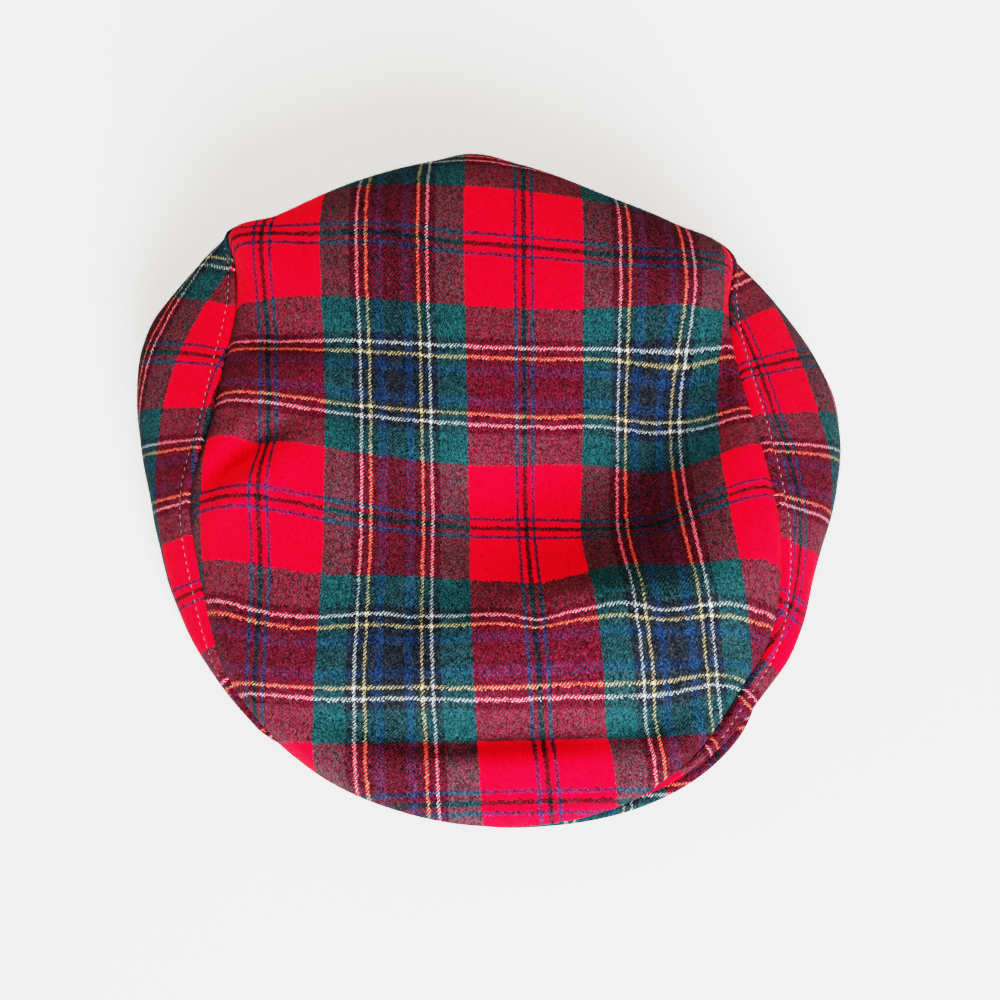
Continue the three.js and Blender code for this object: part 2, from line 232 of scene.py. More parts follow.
# How the tartan lies on the crown, by y: the x where the red ground's middle warp line runs, the width of
# half a warp repeat, the half weft repeats counted from the middle weft line, and the rise of the weft
# lines towards +X, which counts from one x.
LIE = by_column(("y", "middle_x", "half_width", "weft", "rise"), [
    (-125, 18, 55, -2.32, -0.02),
    (-110, 16.5, 53, -2.0, -0.02),
    (-62.6, 13.5, 48.5, -1.0, -0.02),
    (-17.7, 12.9, 45.3, 0.0, -0.08),
    (29, 13.6, 44.6, 1.0, -0.085),
    (80.8, 15.6, 46.4, 2.0, -0.125),
    (122, 17.5, 46.5, 2.8, -0.13),
    (150, 18.5, 46.5, 3.37, -0.13),
])
RISE_FROM_X = -10.0
# The brink of the crown's back edge, as a share of the way out, and the y over which the edge becomes
# the back.
BRINK = 0.9
BACK_EDGE = (60.0, 100.0)
# Places on the crown where the cloth is drawn aside, each with its reach and its shift.
PULLS = by_column(("x", "y", "reach_x", "reach_y", "shift_x", "shift_y"), [
    (73, 57, 16, 20, 2.4, 0),
    (44, 10, 14, 36, 1.8, 0),
    (38, -20, 22, 22, -2, 0),
    (-81, -4, 16, 20, -2.5, 0),
    (-104, 8, 12, 30, -4, 0),
    (-65, -85, 25, 25, -2.2, 0),
    (95, -60, 16, 18, 1.6, 0),
    (-85, -8, 32, 40, 0, 6.5),
    (-88, 28, 26, 16, 0, 4),
    (-100, 18, 12, 16, 0, 3),
    (-92, 42, 12, 14, 0, 2.5),
    (-108, -45, 22, 30, 0, 9),
    (-84, -76, 22, 14, 0, 3),
    (-33, 85, 20, 16, 0, 2),
    (-30, -34, 20, 10, 0, 1.8),
    (-42, -47, 14, 9, 0, 1.6),
    (-5, -76, 26, 12, 0, -2),
    (14, -50, 8, 10, 0, -1.8),
    (47, 17, 21, 28, 0, 6.5),
    (58, 54, 22, 12, 0, 2.5),
    (46, -38, 18, 16, 0, 5.5),
    (68, -42, 34, 20, 0, 4.5),
    (78, -76, 14, 12, 0, 3),
    (72, -12, 12, 12, 0, 3.5),
    (98, -12, 26, 24, 0, 16),
    (92, 20, 24, 22, 0, 5),
    (95, 50, 22, 22, 0, 8),
    (28, 1, 28, 15, 0, 4.6),
    (26, -22, 24, 10, 0, 1.5),
    (28, -46, 24, 10, 0, -1.2),
    (68, 48, 18, 12, 0, 3.2),
    (66, 20, 14, 12, 0, 3),
    (57, -48, 14, 10, 0, -3.5),
    (36, -80, 34, 12, 0, -1.8),
])

# How the tartan lies on the wearer's left panel: the radius where the red ground's middle warp line would
# run, by angle, and the angle where the weft count starts, with the degrees of half a weft repeat.
LEFT_GRAIN = by_column(("angle", "radius"), [
    (-90, 112), (-40, 112), (-21, 116), (11, 104), (36, 108), (60, 112), (90, 116),
])
LEFT_WEFT = {"start": 20.0, "half_repeat": 22.0}
# The same on the wearer's right panel, whose weft lines lie partly straight, by y, and partly fanned, by
# the way round at a radius from an angle, and on the peak.
RIGHT_GRAIN_R = 102.8
RIGHT_WEFT = {
    "straight": 0.4, "fanned": 0.6, "radius": 112.0, "angle": 180.0, "start": 9.4, "half_repeat": 42.2,
}
PEAK_GRAIN = {"x": 34.0, "y": -118.0, "weft": 0.55}

# The floor, the photograph's view and the light. Each light has its side in metres, watts, colour,
# elevation and azimuth in degrees, and distance in metres.
FLOOR_HALF_M = 3.0
CAMERA = {"sensor": 36.0, "lens": 54.93, "shift_x": 0.011, "shift_y": -0.003, "nearest": 0.01}
VIEW = {"elevation": 74.0, "azimuth": -2.5, "distance": 0.56}
VIEW_TARGET_Z = 25.0
LIGHTS = {
    "key": (0.8, 64.0, (0.97, 0.99, 1.0), 34.0, 14.0, 1.5),
    "fill": (1.3, 19.0, (1.0, 0.92, 0.82), 50.0, -165.0, 1.5),
}
LIGHT_TARGET_M = np.array([0.0, 0.0, 0.03])
SKY = {"Color": (0.93, 0.96, 1.0, 1.0), "Strength": 0.22}


def smooth_step(low, high, at):
    """0 before low, 1 after high, and 3t^2 - 2t^3 between, t being the share of the way."""
    t = np.clip((at - low) / (high - low), 0.0, 1.0)
    return t * t * (3.0 - 2.0 * t)


def curve_through(places, values, at, period=0.0):
    """Smooth curve through pairs of place and value: on each span the cubic that leaves and arrives with
    the slope of the chord between the neighbours on both sides. With a period the pairs go round."""
    if period:
        turns = np.array([-period, 0.0, period])[:, None]
        places, values = (places + turns).ravel(), np.tile(values, 3)
    last = len(places) - 1
    knot = np.arange(last + 1)
    below, above = np.maximum(knot - 1, 0), np.minimum(knot + 1, last)
    slopes = (values[above] - values[below]) / (places[above] - places[below])
    k = np.clip(np.searchsorted(places, at, side="right") - 1, 0, last - 1)
    span = places[k + 1] - places[k]
    t = np.clip((at - places[k]) / span, 0.0, 1.0)
    start = values[k] * (1 - 3 * t**2 + 2 * t**3) + slopes[k] * span * t * (1 - t) ** 2
    return start + values[k + 1] * (3 * t**2 - 2 * t**3) - slopes[k + 1] * span * t**2 * (1 - t)


def section(column, angle):
    """One column of the sections at any angle in degrees."""
    return curve_through(SECTIONS["angle"], SECTIONS[column], np.mod(angle, 360.0), 360.0)


def unit(vectors):
    """Vectors divided by their lengths."""
    return vectors / np.maximum(np.linalg.norm(vectors, axis=-1, keepdims=True), TINY)


def in_plan(radius, angle):
    """Places in plan at a radius and an angle in degrees: radius times cosine, and radius times sine."""
    return radius * np.cos(np.radians(angle)), radius * np.sin(np.radians(angle))


def turned(radius, height, angle):
    """Points at a radius and height, turned about the upright axis by an angle in degrees."""
    return np.stack(np.broadcast_arrays(*in_plan(radius, angle), height), axis=-1)


def mounds(x, y):
    """Sum of the folds: each is its depth times exp(-(along/half length)^2 - (across/half width)^2)."""
    dx, dy = x[..., None] - FOLDS["x"], y[..., None] - FOLDS["y"]
    cos, sin = np.cos(np.radians(FOLDS["heading"])), np.sin(np.radians(FOLDS["heading"]))
    along = (dx * cos + dy * sin) / FOLDS["half_length"]
    across = (dy * cos - dx * sin) / FOLDS["half_width"]
    return np.sum(FOLDS["depth"] * np.exp(-(along**2) - across**2), axis=-1)


def unevenness(x, y):
    """Slight waviness of soft cloth, under a millimetre: a wave across and a wave along, each bent by a
    slower one, and the product of two slanting waves."""
    across = np.sin(x / WAVE_LENGTH["across"] + 0.6 * np.sin(y / WAVE_LENGTH["bend_y"]))
    along = np.sin(y / WAVE_LENGTH["along"] + 1.3 + 0.8 * np.sin(x / WAVE_LENGTH["bend_x"]))
    rising = np.sin((x + y) / WAVE_LENGTH["rising"] + 0.4)
    falling = np.sin((x - 0.7 * y) / WAVE_LENGTH["falling"] + 2.0)
    waves = WAVE_HEIGHT["across"] * across + WAVE_HEIGHT["along"] * along
    return waves + WAVE_HEIGHT["slanting"] * rising * falling


def tucked_in(angle):
    """1 where the side panel is tucked in under the crown's edge, 0 elsewhere: the product of a step up to
    a round shoulder and a step down to a low seam."""
    rounded = smooth_step(*TUCK_SHOULDER, section("shoulder", angle))
    return rounded * (1 - smooth_step(*TUCK_SEAM_Z, section("seam_z", angle)))


def crown_heights(angle, share):
    """Radius and height of the crown's upper face at a share of the way from the middle to the seam. The
    height falls from the ridge to the seam as (1 - share^power)^(1/root), squarer where the shoulder is
    round, with the folds pressed in and the edge tucked down by exp(-(distance from the seam/width)^2)."""
    seam_r, seam_z = section("seam_r", angle), section("seam_z", angle)
    shoulder = section("shoulder", angle)
    power = SLOPE["power"] + (ROUND["power"] - SLOPE["power"]) * shoulder
    root = SLOPE["root"] + (ROUND["root"] - SLOPE["root"]) * shoulder
    radius = share * (seam_r - SEAM_GAP / 2)
    x, y = in_plan(radius, angle)
    ridge = curve_through(RIDGE["y"], RIDGE["z"], y)
    lift = (1 - share**power) ** (1 / root)
    pressed = (mounds(x, y) + unevenness(x, y)) * (1 - share**FOLD_FADE)
    tuck = TUCK["edge"] + TUCK["down"] * tucked_in(angle)
    tuck = tuck * np.exp(-(((seam_r - radius) / TUCK["width"]) ** 2))
    return radius, seam_z + (ridge - seam_z) * lift + pressed - tuck


def opening_reach(from_x, from_y, to_x, to_y):
    """Distance from a point inside the head opening to its oval along a direction in plan: the positive
    root of the oval's quadratic."""
    px, py = from_x / OPENING["half_width"], (from_y - OPENING["middle_y"]) / OPENING["half_length"]
    dx, dy = to_x / OPENING["half_width"], to_y / OPENING["half_length"]
    a, b, c = dx**2 + dy**2, px * dx + py * dy, px**2 + py**2 - 1
    return (np.sqrt(b**2 - a * c) - b) / a


def peak_top(x, y):
    """Upper face of the peak: its thickness plus an arch, 1 minus the square of the share of the half
    width, times a rise that grows towards the back and runs out into the arms."""
    arch = np.maximum(0.0, 1 - ((x - PEAK["middle_x"]) / PEAK["half_width"]) ** 2)
    rise = PEAK["rise_front"] + PEAK["rise_slope"] * (y - PEAK["middle_y"] + PEAK["reach"])
    return PEAK["thickness"] + arch * rise * (1 - smooth_step(*ARM_DROP, y))


def resting_height(x, y):
    """Lowest place for cloth that lies on the peak at the front and on the table further back."""
    return (peak_top(x, y) + SEAM_GAP) * (1 - smooth_step(*HEM_CLIMB, y))


def bezier(points, t):
    """Cubic curve over four control points, each weighted by its share of (1 - t + t)^3."""
    a, b, c, d = points
    return a * (1 - t) ** 3 + 3 * b * t * (1 - t) ** 2 + 3 * c * t**2 * (1 - t) + d * t**3


def side_profile(angle, along):
    """Radius and height of a side panel's outer face: along is 0 at the seam, 1 at the widest fold and 2 at
    the hem. One cubic leads over to the fold, leaving the seam a little above the straight way and
    arriving upright, and a second leads under to the hem. Nothing goes below what the cloth rests on."""
    seam_r, seam_z = section("seam_r", angle), section("seam_z", angle)
    fold_r, fold_z = section("fold_r", angle), section("fold_z", angle)
    cos, sin = np.cos(np.radians(angle)), np.sin(np.radians(angle))
    hem_r = opening_reach(0.0, 0.0, cos, sin)
    hem_z = resting_height(hem_r * cos, hem_r * sin)
    fall = np.arctan2(seam_z - fold_z, fold_r - seam_r) - np.radians(SIDE["bulge"])
    handle = SIDE["seam_handle"] * np.hypot(seam_z - fold_z, fold_r - seam_r)
    drop = fold_z - hem_z
    over, under = np.clip(along, 0, 1), np.clip(along - 1, 0, 1)
    over_r = bezier((seam_r, seam_r + handle * np.cos(fall), fold_r, fold_r), over)
    above_fold = fold_z + SIDE["fold_handle"] * (seam_z - fold_z)
    over_z = bezier((seam_z, seam_z - handle * np.sin(fall), above_fold, fold_z), over)
    under_r = bezier((fold_r, fold_r, hem_r + SIDE["hem_lean"] * drop, hem_r), under)
    below_fold = fold_z - SIDE["fold_handle"] * drop
    under_z = bezier((fold_z, below_fold, hem_z + SIDE["hem_rise"] * drop, hem_z), under)
    radius = np.where(along < AT_FOLD, over_r, under_r)
    height = np.where(along < AT_FOLD, over_z, under_z)
    return radius, np.maximum(height, resting_height(radius * cos, radius * sin))


def seam_relief(length, to_fold):
    """Height of the seam's rolled lip and sewn groove over a smooth side panel, by the length from the
    seam: soft mounds exp(-(distance/spread)^2), in full where the way to the fold gives them room."""
    room = smooth_step(*LIP_ROOM, to_fold)
    dive = LIP["dive"] * np.exp(-((length / LIP["dive_spread"]) ** 2))
    lip = LIP["high"] * np.exp(-(((length - LIP["middle"]) / LIP["spread"]) ** 2)) - dive
    groove = -GROOVE["deep"] * np.exp(-(((length - STITCH["inset"]) / GROOVE["spread"]) ** 2))
    return (lip + groove) * room + LIP["cramped"] * lip * (1 - room)


def run_length(radius, height):
    """Length along each profile from its first point: the running sum of the distances between points."""
    steps = np.hypot(np.diff(radius, axis=1), np.diff(height, axis=1))
    return np.concatenate([np.zeros_like(radius[:, :1]), np.cumsum(steps, axis=1)], axis=1)


def crown_cloth_map(x, y):
    """Tartan repeats at a place on the crown. Across: the distance from the middle warp line over the width
    of a repeat. Along: the weft count read up the crown, at a y that the rise of the lines corrects. The
    pulls shift the place first, each by its shift times exp(-(dx/reach)^2 - (dy/reach)^2)."""
    dx, dy = x[..., None] - PULLS["x"], y[..., None] - PULLS["y"]
    share = np.exp(-((dx / PULLS["reach_x"]) ** 2) - (dy / PULLS["reach_y"]) ** 2)
    x = x - np.sum(share * PULLS["shift_x"], axis=-1)
    y = y - np.sum(share * PULLS["shift_y"], axis=-1)
    level = y - curve_through(LIE["y"], LIE["rise"], y) * (x - RISE_FROM_X)
    middle_x = curve_through(LIE["y"], LIE["middle_x"], level)
    across = (x - middle_x) / curve_through(LIE["y"], LIE["half_width"], level)
    return np.stack([across, curve_through(LIE["y"], LIE["weft"], level)], axis=-1) / 2


def unrolled(points):
    """Places in plan of the crown's points as if its back edge lay flat: past the brink, each place is
    moved out by the length that the cloth gains there over its plan."""
    x, y = points[..., 0], points[..., 1]
    radius = np.hypot(x, y)
    gained = run_length(radius, points[..., 2]) - radius
    brink = gained[np.arange(len(radius)), np.sum(radius < BRINK * radius[:, -1:], axis=1) - 1]
    late = np.maximum(0.0, gained - brink[:, None]) * smooth_step(*BACK_EDGE, y)
    return x * (1 + late / radius), y * (1 + late / radius)


def left_cloth_map(angle, length, _):
    """Tartan repeats on the wearer's left panel: the warp counts outwards from its grain radius, and the
    weft counts the angle."""
    grain = curve_through(LEFT_GRAIN["angle"], LEFT_GRAIN["radius"], angle)
    across = (length + section("seam_r", angle) - grain) / WARP_HALF_MM
    along = (angle - LEFT_WEFT["start"]) / LEFT_WEFT["half_repeat"]
    return np.stack(np.broadcast_arrays(across, along), axis=-1) / 2


def right_cloth_map(angle, length, y):
    """Tartan repeats on the wearer's right panel: the warp counts outwards from its grain radius, and the
    weft counts partly y and partly the way round, so that the lines fan out."""
    across = (length + section("seam_r", angle) - RIGHT_GRAIN_R) / WARP_HALF_MM
    turn = np.radians(RIGHT_WEFT["angle"] - angle)
    fan = RIGHT_WEFT["straight"] * y + RIGHT_WEFT["fanned"] * RIGHT_WEFT["radius"] * turn
    along = (fan - RIGHT_WEFT["start"]) / RIGHT_WEFT["half_repeat"] + 1.0
    return np.stack([across, along], axis=-1) / 2


def peak_cloth_map(x, y):
    """Tartan repeats on the peak, where the cloth lies straight: the way from its grain over a repeat."""
    across = (x - PEAK_GRAIN["x"]) / WARP_HALF_MM + 1.0
    along = (y - PEAK_GRAIN["y"]) / WEFT_HALF_MM + PEAK_GRAIN["weft"]
    return np.stack([across, along], axis=-1) / 2


def grid_quads(rows, columns, wrap=False):
    """Quads over points numbered row by row: each joins a point, the next in its row and the two in the
    next row. With wrap the last row joins the first."""
    row = np.arange(rows if wrap else rows - 1)[:, None]
    column = np.arange(columns - 1)[None, :]
    here = row * columns + column
    there = (row + 1) % rows * columns + column
    return np.stack([here, here + 1, there + 1, there], axis=-1).reshape(-1, 4)


def tube_quads(index):
    """Quads of a tube over a grid of point numbers, whose rows are rings: each joins a point, the next
    round its ring and the two on the next ring."""
    ahead = np.roll(index, -1, axis=1)
    return np.stack([index[:-1], ahead[:-1], ahead[1:], index[1:]], axis=-1).reshape(-1, 4)


def ring_quads(outer_ring, inner_ring):
    """Quads that close a wall along a ring of outer points and the ring of inner points behind them."""
    return np.stack([outer_ring, inner_ring, np.roll(inner_ring, -1), np.roll(outer_ring, -1)], axis=-1)


def surface_normals(points, wrap):
    """Unit normals of a grid of points: the cross product of its steps along the columns and along the
    rows."""
    if wrap:
        down = np.roll(points, -1, axis=0) - np.roll(points, 1, axis=0)
    else:
        down = np.gradient(points, axis=0)
    return unit(np.cross(np.gradient(points, axis=1), down))


def add_map(mesh, name, places):
    """A UV map that gives each corner of a face the place of its point."""
    corner = np.empty(len(mesh.loops), dtype=np.int32)
    mesh.loops.foreach_get("vertex_index", corner)
    mesh.uv_layers.new(name=name).data.foreach_set("uv", places[corner].astype(np.float32).ravel())


def add_piece(name, points, faces, cloth, material):
    """A mesh piece in metres, from points in millimetres about the section axis and groups of faces, with
    its cloth map as a UV map, riding on the cap."""
    mesh = bpy.data.meshes.new(name)
    places = (points + SECTION_AXIS) * METRES
    mesh.from_pydata(places.tolist(), [], [face for group in faces for face in group.tolist()])
    add_map(mesh, "cloth", cloth)
    mesh.polygons.foreach_set("use_smooth", np.ones(len(mesh.polygons), dtype=bool))
    mesh.set_sharp_from_angle(angle=math.radians(SHARP_ANGLE))
    mesh.materials.append(material)
    piece = bpy.data.objects.new(name, mesh)
    bpy.context.collection.objects.link(piece)
    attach(piece, "root")
    return piece


class Wired:
    """A shader socket that is used in sums like a number: each operator adds one Math node."""

    def __init__(self, tree, socket=None):
        self.tree = tree
        self.socket = socket

    def node(self, kind, settings=(), sockets=(), output=0):
        """Adds a node, makes its settings, then the values or links of its sockets, and gives one output."""
        made = self.tree.nodes.new(kind)
        for name, value in dict(settings).items():
            if name == "stops":
                fill_ramp(made.color_ramp, value)
            else:
                setattr(made, name, value)
        for key, value in dict(sockets).items():
            if isinstance(value, Wired):
                self.tree.links.new(value.socket, made.inputs[key])
            else:
                made.inputs[key].default_value = value
        return Wired(self.tree, made.outputs[output])

    def beside(self, output):
        """Another output of the same node."""
        return Wired(self.tree, self.socket.node.outputs[output])

    def maths(self, operation, *values):
        """A Math node on values or sockets."""
        return self.node("ShaderNodeMath", {"operation": operation}, enumerate(values))

    def __add__(self, other):
        return self.maths("ADD", self, other)

    def __radd__(self, other):
        return self.maths("ADD", other, self)

    def __sub__(self, other):
        return self.maths("SUBTRACT", self, other)

    def __rsub__(self, other):
        return self.maths("SUBTRACT", other, self)

    def __mul__(self, other):
        return self.maths("MULTIPLY", self, other)

    def __rmul__(self, other):
        return self.maths("MULTIPLY", other, self)


def fill_ramp(ramp, stops):
    """Sets a ramp's stops to pairs of place and colour, each colour holding until the next stop."""
    ramp.interpolation = "CONSTANT"
    while len(ramp.elements) < len(stops):
        ramp.elements.new(1.0)
    for element, (place, colour) in zip(ramp.elements, stops):
        element.position = place
        element.color = colour


def new_material(name):
    """An empty node material and its tree's starting point."""
    material = bpy.data.materials.new(name)
    material.use_nodes = True
    material.node_tree.nodes.clear()
    return material, Wired(material.node_tree)


def set_surface(start, sockets):
    """Joins a Principled shader with these sockets to a new output of the material."""
    shader = start.node("ShaderNodeBsdfPrincipled", (), sockets)
    output = start.tree.nodes.new("ShaderNodeOutputMaterial")
    start.tree.links.new(shader.socket, output.inputs["Surface"])


def object_place(start):
    """The place on the piece, in Object coordinates."""
    return start.node("ShaderNodeTexCoord", (), (), output="Object")


def mix_colours(start, factor, first, second, blend="MIX"):
    """A Mix node for colours."""
    settings = {"data_type": "RGBA", "blend_type": blend, "clamp_result": False}
    return start.node("ShaderNodeMix", settings, {0: factor, 6: first, 7: second}, output=2)


def grey(start, value):
    """A value as a colour with three equal parts."""
    return start.node("ShaderNodeCombineColor", (), {0: value, 1: value, 2: value})


def noise(start, place, kind, detail=2.0, rough=0.55):
    """Noise from 0 to 1 at a place, with the scale of its kind."""
    sockets = {"Vector": place, "Scale": NOISE_SCALE[kind], "Detail": detail, "Roughness": rough}
    return start.node("ShaderNodeTexNoise", {"noise_dimensions": "3D"}, sockets)


def tartan_stops(close):
    """Ramp stops of half a repeat: each stripe starts where the threads before it end. The lines in the red
    ground lie closer by a factor, which widens the red beside them. The fourth number of a stop's colour
    is the yarn's family."""
    counts = np.array([count for _, count in THREADS], float)
    counts[MIDDLE_STRIPES] += (1 - close) * np.sum(counts[:MIDDLE_STRIPES])
    counts[:MIDDLE_STRIPES] *= close
    starts = (np.cumsum(counts) - counts) / HALF_REPEAT
    return [(float(start), (*YARN[name], FAMILY[name])) for start, (name, _) in zip(starts, THREADS)]


def stripe_colour(start, thread, close):
    """Yarn colour at a count of threads, which runs to and fro over the stripes of half a repeat."""
    half = start.maths("PINGPONG", thread * (1 / HALF_REPEAT), 1.0)
    return start.node("ShaderNodeValToRGB", {"stops": tartan_stops(close)}, {0: half})


def woven_colour(start):
    """Woven tartan from the piece's cloth map, which counts repeats. Warp and weft each take their stripe
    from the distance to the nearest pivot line, frayed at its edges. The 2/2 twill shows the warp where
    the thread counts across and along differ by 0 or 1 of 4, mingled with chance by the tufts of the
    nap, and a crossing of unlike yarns is tinted. Gives the colour, the place on the piece, the twill's
    ridge and three values from 0 to 1: fuzz, tuft and lint."""
    cloth = start.node("ShaderNodeUVMap", {"uv_map": "cloth"})
    place = object_place(start)
    across = start.node("ShaderNodeSeparateXYZ", (), {0: cloth})
    along = across.beside(1)
    threads = 2 * HALF_REPEAT
    fuzz = noise(start, place, "fuzz")
    wander_warp = noise(start, place, "wander_warp", rough=0.6)
    wander_weft = noise(start, place, "wander_weft", rough=0.6)
    warp_at = across * threads + (wander_warp - 0.5) * WEAVE["wander"]
    weft_at = along * threads + (wander_weft - 0.5) * WEAVE["wander"]
    tufts = {0: warp_at * WEAVE["tufts_across"], 1: weft_at * WEAVE["tufts_along"]}
    lie = start.node("ShaderNodeCombineXYZ", (), tufts)
    cells = {"Vector": lie, "Scale": 1.0}
    grain = start.node("ShaderNodeTexVoronoi", {"voronoi_dimensions": "2D"}, cells, output="Color")
    chance = start.node("ShaderNodeSeparateColor", (), {0: grain})
    tuft, lint = chance.beside(1), chance.beside(2)
    warp = stripe_colour(start, warp_at + (fuzz - 0.5) * WEAVE["warp_fray"], WARP_CLOSE)
    weft = stripe_colour(start, weft_at + (tuft - 0.5) * WEAVE["weft_fray"], 1.0)
    count = start.maths("FLOOR", warp_at) - start.maths("FLOOR", weft_at)
    step = start.maths("FLOORED_MODULO", count, TWILL["threads"])
    warp_up = start.maths("LESS_THAN", step, TWILL["warp_up"])
    unlike = start.maths("ABSOLUTE", warp.beside("Alpha") - weft.beside("Alpha"))
    tint = start.node("ShaderNodeValToRGB", {"stops": CROSSING_TINT}, {0: unlike})
    plain = tint.beside("Alpha")
    by_chance = chance * (MINGLE["chance"] - MINGLE["chance_fall"] * plain)
    by_twill = warp_up * (MINGLE["twill"] + MINGLE["twill_gain"] * plain)
    mingled = by_chance + by_twill + MINGLE["lift"] - MINGLE["lift_fall"] * plain
    shown = start.node("ShaderNodeClamp", (), {0: mingled})
    colour = mix_colours(start, shown, weft, warp)
    colour = mix_colours(start, 1.0, colour, tint, "MULTIPLY")
    ridge = start.maths("SINE", (warp_at - weft_at) * (math.pi / 2))
    return colour, place, ridge, fuzz, tuft, lint


def wool_material():
    """Napped woollen tartan: woven colours, yarns of uneven depth of colour, a little pale lint, and a
    relief of twill ridges and loose fibres."""
    material, start = new_material("tartan_wool_cloth")
    colour, place, ridge, fuzz, tuft, lint = woven_colour(start)
    cloudy = noise(start, place, "cloudy", 3.0)
    fibre = noise(start, place, "fibre", 3.0, 0.7)
    redness = start.node("ShaderNodeSeparateColor", (), {0: colour})
    speckle = (fibre - 0.5) * SPECKLE["fibre"] + (tuft - 0.5) * SPECKLE["tuft"]
    speckle = speckle + (cloudy - 0.5) * SPECKLE["cloudy"]
    depth = 1.0 + speckle * (1.0 - SPECKLE["red_calm"] * redness)
    depth = start.maths("MAXIMUM", depth, SPECKLE["darkest"])
    toned = mix_colours(start, 1.0, colour, grey(start, depth), "MULTIPLY")
    pale = start.maths("GREATER_THAN", lint + (fibre - 0.5) * LINT["fibre"], LINT["rare"])
    pale = pale * (LINT["share"] - LINT["share"] * redness)
    toned = mix_colours(start, pale, toned, LINT["colour"])
    relief = ridge * RELIEF["ridge"] + fibre * RELIEF["fibre"]
    relief = relief + fuzz * RELIEF["fuzz"] + tuft * RELIEF["tuft"]
    bump = start.node("ShaderNodeBump", (), {"Strength": 0.55, "Distance": 0.0004, "Height": relief})
    set_surface(start, {
        "Base Color": toned, "Roughness": 0.92, "Normal": bump, "Specular IOR Level": 0.08,
        "Sheen Weight": 0.04, "Sheen Roughness": 0.45,
    })
    return material


def nap_material():
    """Loose fibres, in the colour of the yarn they stand on, a little paler."""
    material, start = new_material("tartan_wool_nap")
    colour = woven_colour(start)[0]
    paler = mix_colours(start, 0.03, colour, (1.0, 0.9, 0.86, 1.0))
    set_surface(start, {"Base Color": paler, "Roughness": 0.8, "Specular IOR Level": 0.2})
    return material


def thread_material():
    """Sewing thread: dusty pink cotton with the twist of its plies."""
    material, start = new_material("sewing_thread")
    twist = noise(start, object_place(start), "twist", 1.0)
    colour = mix_colours(start, twist, (0.20, 0.04, 0.06, 1.0), (0.45, 0.22, 0.24, 1.0))
    bump = start.node("ShaderNodeBump", (), {"Strength": 0.4, "Distance": 0.0001, "Height": twist})
    set_surface(start, {"Base Color": colour, "Roughness": 0.6, "Normal": bump})
    return material


def floor_material():
    """A plain pale worktop with a faint cloudiness and a faint glow."""
    material, start = new_material("pale_floor")
    cloudy = noise(start, object_place(start), "floor", 3.0)
    colour = mix_colours(start, cloudy, (0.73, 0.725, 0.72, 1.0), (0.78, 0.78, 0.78, 1.0))
    set_surface(start, {
        "Base Color": colour, "Roughness": 0.55, "Specular IOR Level": 0.3,
        "Emission Color": (1.0, 0.99, 0.97, 1.0), "Emission Strength": 0.35,
    })
    return material


def crown_piece(material, rounds=360, steps=120):
    """The crown: rings of points round the middle, closer together towards the seam, with an inner face set
    in by the wall along the normals, a single middle point on each face, and a closed rim. Returns the
    piece and its outer points, normals and cloth map as grids."""
    angle = np.linspace(0.0, 360.0, rounds, endpoint=False)[:, None]
    t = np.linspace(0.0, 1.0, steps + 1)[None, 1:]
    share = CROWN_SPREAD["even"] * t + CROWN_SPREAD["closing"] * np.sin(t * np.pi / 2)
    outer = turned(*crown_heights(angle, share), angle)
    normals = surface_normals(outer, wrap=True)
    inner = outer - WALL * normals
    nought = np.zeros((1, 1))
    middle = turned(*crown_heights(nought, nought), nought).reshape(1, 3)
    cloth = crown_cloth_map(*unrolled(outer))
    cloth_middle = crown_cloth_map(middle[:, 0], middle[:, 1])
    count = rounds * steps
    quads = grid_quads(rounds, steps, wrap=True)
    first = np.arange(rounds) * steps
    fan = np.stack([np.full(rounds, 2 * count), first, np.roll(first, -1)], axis=-1)
    inner_fan = fan[:, ::-1] + [count, count, 1]
    rim = first + steps - 1
    faces = [quads, quads[:, ::-1] + count, fan, inner_fan, ring_quads(rim, rim + count)]
    points = np.concatenate([outer.reshape(-1, 3), inner.reshape(-1, 3), middle, middle - [0, 0, WALL]])
    maps = np.concatenate([cloth.reshape(-1, 2), cloth.reshape(-1, 2), cloth_middle, cloth_middle])
    piece = add_piece("crown_cloth", points, faces, maps, material)
    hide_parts("top_panel")
    return piece, (outer, normals, cloth)


